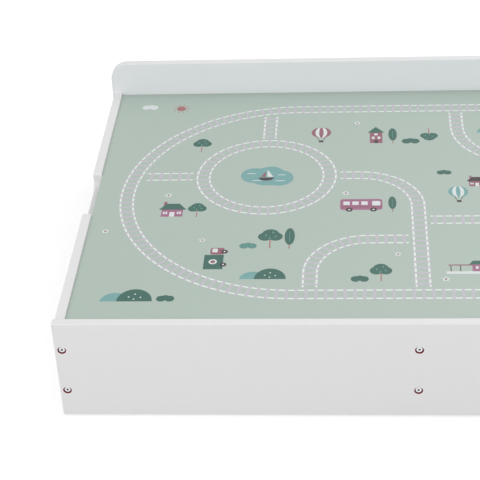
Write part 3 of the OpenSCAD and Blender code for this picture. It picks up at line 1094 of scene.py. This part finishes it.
def print_track(x, y, heading, *pieces, closed=False):
    """A whole route: two rails and its sleepers."""
    route = follow(x, y, heading, pieces)
    for side in (-1, 1):
        print_rail(route, side * GAUGE / 2, closed)
    track_points.extend((px, py) for px, py, _ in route)
    return print_sleepers(route)


print("The rails lie", GAUGE, "mm apart")

# %% [markdown]
# ## The layout
# A long loop with half-round ends runs round the whole board. Inside it, a ring on the left is
# tied to the loop by two spurs. A valley line leaves the ring, turns and runs down to the front,
# with a quarter-round siding. A hill line comes down from the rear and turns to the right, and an
# oval lies in front of it. The stops could be typed in as numbers, but every meeting point is
# worked out from the sizes of the loop, the ring and the oval, so a change of one of them keeps
# the railway whole.

# %% Sizes of the railway
LOOP_RADIUS = 312.0
LOOP_RUN = 420.0
RING_RADIUS = 118.0
RING_X, RING_Y = -268.0, 62.0
VALLEY_X, VALLEY_BEND = 10.0, 105.0
SIDING_Y, SIDING_BEND, SIDING_RUN = -150.0, 100.0, 70.0
HILL_X, HILL_Y, HILL_BEND = 95.0, 106.0, 125.0
OVAL_X, OVAL_Y, OVAL_RADIUS, OVAL_RUN = 330.0, -90.0, 78.0, 110.0
SHORT_OF = 20.0

loop_end = LOOP_RUN / 2
rear_stop = LOOP_RADIUS - SHORT_OF
front_stop = -rear_stop
print("The loop is", LOOP_RUN + 2 * LOOP_RADIUS, "by", 2 * LOOP_RADIUS, "mm")


# %% Where the spurs stop
def stop_along(y):
    """How far out a spur along the board at that height stops, inside the loop's bend."""
    outer_edge = abs(y) + SLEEPER_LENGTH / 2
    return loop_end + math.sqrt(LOOP_RADIUS ** 2 - outer_edge ** 2) - SHORT_OF


def stop_across(x):
    """How far out a spur across the board at that place stops."""
    outer_edge = abs(x) + SLEEPER_LENGTH / 2
    return math.sqrt(LOOP_RADIUS ** 2 - max(0.0, outer_edge - loop_end) ** 2) - SHORT_OF


ring_right = RING_X + RING_RADIUS + SHORT_OF
ring_left = RING_X - RING_RADIUS - SHORT_OF
ring_top = RING_Y + RING_RADIUS + SHORT_OF
oval_start = OVAL_X - OVAL_RUN / 2
oval_left = OVAL_X - OVAL_RUN / 2 - OVAL_RADIUS - SHORT_OF
oval_front = OVAL_Y - OVAL_RADIUS - SHORT_OF
oval_rear = OVAL_Y + OVAL_RADIUS + SHORT_OF
print("The left spur stops at", round(-stop_along(RING_Y), 1), "mm")

# %% Lay the railway
loop_bend, oval_bend = (LOOP_RADIUS, 180), (OVAL_RADIUS, 180)
sleepers = [
    print_track(-loop_end, -LOOP_RADIUS, 0, LOOP_RUN, loop_bend, LOOP_RUN, loop_bend, closed=True),
    print_track(RING_X, RING_Y - RING_RADIUS, 0, (RING_RADIUS, 360), closed=True),
    print_track(ring_left, RING_Y, 180, ring_left + stop_along(RING_Y)),
    print_track(RING_X, ring_top, 90, stop_across(RING_X) - ring_top),
    print_track(ring_right, RING_Y, 0, VALLEY_X - VALLEY_BEND - ring_right, (VALLEY_BEND, -90),
                RING_Y - VALLEY_BEND - front_stop),
    print_track(VALLEY_X - SHORT_OF, SIDING_Y, 180, SIDING_RUN, (SIDING_BEND, 90),
                SIDING_Y - SIDING_BEND - front_stop),
    print_track(HILL_X, rear_stop, -90, rear_stop - HILL_BEND - HILL_Y, (HILL_BEND, 90),
                stop_along(HILL_Y) - HILL_X - HILL_BEND),
    print_track(oval_start, OVAL_Y - OVAL_RADIUS, 0, OVAL_RUN, oval_bend, OVAL_RUN, oval_bend,
                closed=True),
    print_track(VALLEY_X + SHORT_OF, OVAL_Y, 0, oval_left - VALLEY_X - SHORT_OF),
    print_track(OVAL_X, oval_front, -90, oval_front + stop_across(OVAL_X)),
    print_track(OVAL_X, oval_rear, 90, HILL_Y - SHORT_OF - oval_rear),
]
print("Routes:", len(sleepers), "sleepers:", sum(sleepers))

# %% [markdown]
# ## Pictures between the tracks
# The pictures fill the land between the tracks: one pond lies in the ring and one in the oval,
# the station stands at the front, and each cottage has a tree beside it. They could be strewn at
# random, but a printed board is composed, so each one is listed: a picture, the place of its
# foot, a turn and a size.

# %% Places of the pictures
SCENERY = [  # picture, x, y, turn, size
    (pond_with_boat(), -268, 60, 0, 1.3), (round_tree(), -398, 152, 0, 0.95),
    (balloon(), -168, 178, 0, 1.0), (tower_house(), -62, 178, 0, 1.1),
    (poplar(), -30, 176, 0, 0.9), (bush(), 4, 176, 0, 1.0), (round_tree(), 40, 232, 180, 0.9),
    (flower(), -98, 256, 0, 0.9), (cottage(), -434, -74, 0, 1.15),
    (round_tree(), -389, -76, 0, 0.9), (flower(), -446, -2, 0, 0.9), (van(), -324, -206, 90, 1.05),
    (flower(), -372, -150, 0, 0.8), (round_tree(), -252, -176, 0, 1.15),
    (poplar(), -218, -178, 0, 1.0), (bush("pine_teal"), -290, -176, 0, 0.9),
    (hills(), -262, -268, 0, 0.9), (bus(), -92, -62, 0, 1.15), (poplar(), -36, -64, 0, 0.8),
    (flower(), -120, 0, 0, 0.9), (round_tree(), -60, -276, 0, 1.0), (bush(), -96, -276, 0, 0.9),
    (flower(), -30, -196, 0, 0.8), (cloud(), -516, 322, 0, 0.6), (sun(), -452, 322, 0, 0.8),
    (hills(), -488, -330, 0, 1.0), (bush(), -420, -330, 0, 0.9), (flower(), -548, -120, 0, 0.9),
    (station(), 120, -248, 0, 1.0), (flower(), 48, -270, 0, 0.9),
    (round_tree(), 212, -250, 0, 0.9),
    (balloon("water_teal"), 84, -38, 0, 0.95), (bush(), 62, 62, 0, 0.8),
    (cottage("rose", "plum", "mauve"), 120, 20, 0, 0.85), (poplar(), 164, 32, 0, 0.85),
    (hills(), 170, 214, 0, 0.9), (round_tree(), 238, 180, 0, 1.0),
    (cottage("water_teal", "rose", "plum"), 300, 170, 0, 1.1), (poplar(), 344, 168, 0, 1.0),
    (cloud(), 386, 176, 0, 0.7), (pond_with_boat(), 330, -92, 0, 1.0),
    (tower_house("mauve", "plum"), 484, -36, 0, 0.85), (bush(), 474, 42, 0, 0.8),
    (van("mauve", "leaf_green"), 268, -238, 0, 0.85), (flower(), 384, -208, 0, 0.9),
    (bus("rose", "snow"), 230, 34, 0, 0.8), (round_tree(), 530, 300, 0, 1.0),
    (cloud(), 478, 340, 0, 0.8), (hills(), 480, -338, 0, 0.9), (bush(), 546, -338, 0, 0.8),
    (flower(), 552, 120, 0, 0.9),
]
print("Pictures to print:", len(SCENERY))


# %% Print the pictures
def gap_to_track(points):
    """How far the box round a picture is from the nearest sleeper, in millimetres."""
    across, up = zip(*points)
    left, right, low, high = min(across), max(across), min(up), max(up)
    nearest = min(math.hypot(max(left - x, 0.0, x - right), max(low - y, 0.0, y - high))
                  for x, y in track_points)
    return nearest - SLEEPER_LENGTH / 2


gaps = [gap_to_track(place_picture(*placing)) for placing in SCENERY]
print("Smallest gap from a picture to a sleeper:", round(min(gaps), 1), "mm")

# %% [markdown]
# ## From layers of ink to pieces
# So far each ink is a mesh that no object shows. Now each becomes one piece that lies on the
# board and rides on it, so that the print lifts off with the board. The whole print could be one
# piece with ten materials, but one piece for each ink is simpler to check and to repaint.


# %% Turn the layers of ink into pieces
def finish_print(name, mesh):
    """One ink's shapes as a piece that lies on the board."""
    bmesh.ops.recalc_face_normals(mesh, faces=mesh.faces)
    data = bpy.data.meshes.new("print_" + name)
    mesh.to_mesh(data)
    mesh.free()
    data.materials.append(make_ink(name, INKS[name]))
    piece = bpy.data.objects.new("print_" + name, data)
    bpy.context.scene.collection.objects.link(piece)
    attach(piece, "board")
    return len(data.polygons)


print("Faces in the print:", sum(finish_print(name, mesh) for name, mesh in printed.items()))

# %% [markdown]
# ## Floor
# The table stands on a plain white floor. It could be made white by strong light, but that would
# wash out the table. Instead the floor is a pale grey that also glows, and only the camera and
# the glosses see the glow. So it keeps its shadow near the table, and farther out it brightens
# into the white backdrop.

# %% Floor paint
FLOOR_WHITE = 0.6
FLOOR_ROUGHNESS = 0.9
FLOOR_GLOSS = 0.1
FLOOR_LIFT = 0.54
NEAR_TABLE = 0.75
BACKDROP = 1.5


def seen_directly(tree):
    """1 for rays that end in the eye, straight or by a gloss or a glass, 0 for diffuse light."""
    path = add(tree, "LightPath").outputs
    reflected = maths(tree, "MAXIMUM", path["Is Glossy Ray"], path["Is Transmission Ray"])
    return maths(tree, "MAXIMUM", path["Is Camera Ray"], reflected)


def make_floor_paint():
    """A white that is lifted for the camera, to meet the backdrop, but keeps the shadow."""
    made, tree, shader = material("floor_paint", specular=FLOOR_GLOSS)
    finish_surface(tree, shader, (FLOOR_WHITE, FLOOR_WHITE, FLOOR_WHITE, 1.0), FLOOR_ROUGHNESS)
    distance = add(tree, "VectorMath", {0: position(tree)}, operation="LENGTH").outputs["Value"]
    far_out = ramp(tree, distance, NEAR_TABLE, BACKDROP)
    lift = maths(tree, "MULTIPLY_ADD", far_out, 1.0 - FLOOR_LIFT, FLOOR_LIFT)
    strength = maths(tree, "MULTIPLY", seen_directly(tree), lift)
    glow = add(tree, "Emission", {"Color": WHITE, "Strength": strength})
    both = add(tree, "AddShader", {0: shader.outputs[0], 1: glow.outputs[0]})
    tree.links.new(both.outputs[0], tree.nodes["Material Output"].inputs["Surface"])
    return made


floor_paint = make_floor_paint()
print("Made the material", floor_paint.name)

# %% Floor
FLOOR_SIDE = 30.0


def make_floor():
    """A square of one face under the table."""
    mesh = bmesh.new()
    bmesh.ops.create_grid(mesh, x_segments=1, y_segments=1, size=FLOOR_SIDE / 2)
    data = bpy.data.meshes.new("floor")
    mesh.to_mesh(data)
    mesh.free()
    data.materials.append(floor_paint)
    made = bpy.data.objects.new("floor", data)
    bpy.context.scene.collection.objects.link(made)


make_floor()
print("Floor:", FLOOR_SIDE, "m wide")

# %% [markdown]
# ## Light
# The table is lit by soft studio light. The sky is a white dome that gives about half of it, and
# the camera and every gloss see it as pure white. Three wide softboxes stand five metres off, in
# front, at the front left and on the right. Nearer lamps could be weaker, but they would light
# the near corner more than the far one, and the real table is lit much the same all over. A
# fourth softbox hangs behind, high up and nearer: its blurred reflection is the pale sheen on the
# near right of the board.

# %% Sky
SKY_STRENGTH = 0.55


def make_sky():
    """A dome that lights at its own strength, and is seen at full white."""
    sky = bpy.data.worlds.new("sky")
    bpy.context.scene.world = sky
    sky.use_nodes = True
    tree = sky.node_tree
    background = tree.nodes["Background"].inputs
    strength = maths(tree, "MULTIPLY_ADD", seen_directly(tree), 1.0 - SKY_STRENGTH, SKY_STRENGTH)
    fill(tree, background["Strength"], strength)
    fill(tree, background["Color"], WHITE)


make_sky()
print("Sky strength:", SKY_STRENGTH)

# %% Softboxes
LIT_POINT = Vector((0.0, 0.0, 0.1))
SOFTBOXES = {  # name: (degrees round from the front, degrees up, metres away, metres wide, watts)
    "front_softbox": (0, 30, 5.0, 2.7, 49.7),
    "front_left_softbox": (-45, 30, 5.0, 2.7, 35.5),
    "right_softbox": (90, 45, 5.0, 2.7, 27.5),
    "rear_softbox": (160, 55, 3.5, 2.6, 17.4),
}


def make_softbox(name, round_angle, up_angle, distance, size, watts):
    """A round area lamp on a sphere round the table, turned to its middle."""
    turn, rise = math.radians(round_angle), math.radians(up_angle)
    level = math.cos(rise)
    outward = Vector((math.sin(turn) * level, -math.cos(turn) * level, math.sin(rise)))
    data = bpy.data.lights.new(name, "AREA")
    data.shape = "DISK"
    data.size = size
    data.energy = watts
    lamp = bpy.data.objects.new(name, data)
    bpy.context.scene.collection.objects.link(lamp)
    lamp.location = LIT_POINT + distance * outward
    lamp.rotation_euler = (-outward).to_track_quat("-Z", "Y").to_euler()


for name, placing in SOFTBOXES.items():
    make_softbox(name, *placing)
print("Softboxes:", len(SOFTBOXES))
